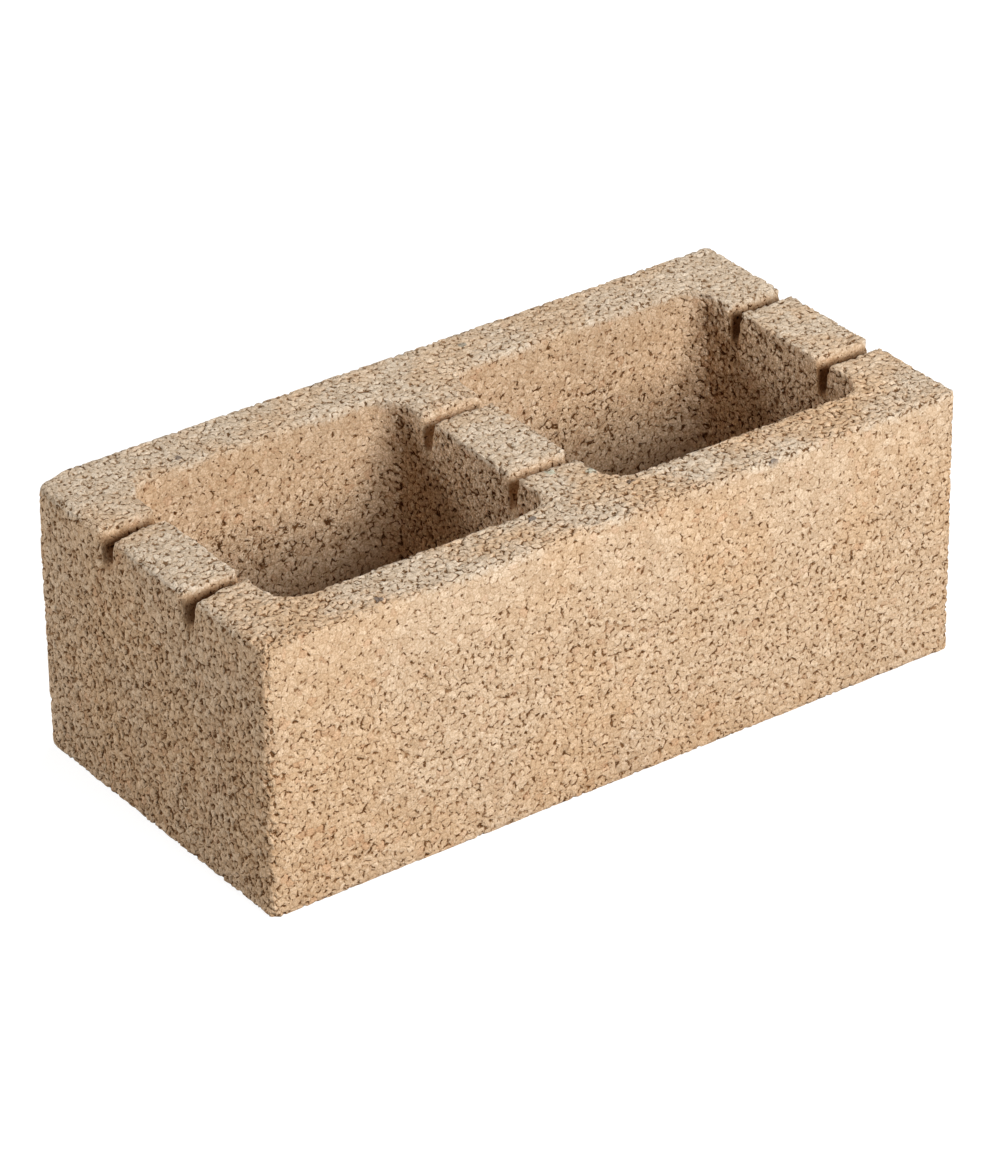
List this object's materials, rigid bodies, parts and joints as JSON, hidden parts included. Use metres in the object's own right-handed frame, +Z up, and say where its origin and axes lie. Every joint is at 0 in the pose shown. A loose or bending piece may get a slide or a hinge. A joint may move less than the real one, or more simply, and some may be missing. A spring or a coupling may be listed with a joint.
{
  "type": "hollow concrete block",
  "caption": "Hollow concrete masonry block: a tan, coarse-grained casting with tapered through cells and scored cross webs, for laying in walls.",
  "frame": {"origin": "middle of the bottom bed, which the block stands on", "axes": "+X along the wall, the block's longest side; +Y through the wall, away from the front face; +Z up, towards the scored bed"},
  "size_m": [0.39, 0.19, 0.14],
  "materials": {
    "concrete": "as pressed: open, coarse grain with small pores, smoother near the top"
  },
  "bodies": {
    "root": {"block": "concrete"}
  },
  "joints": []
}
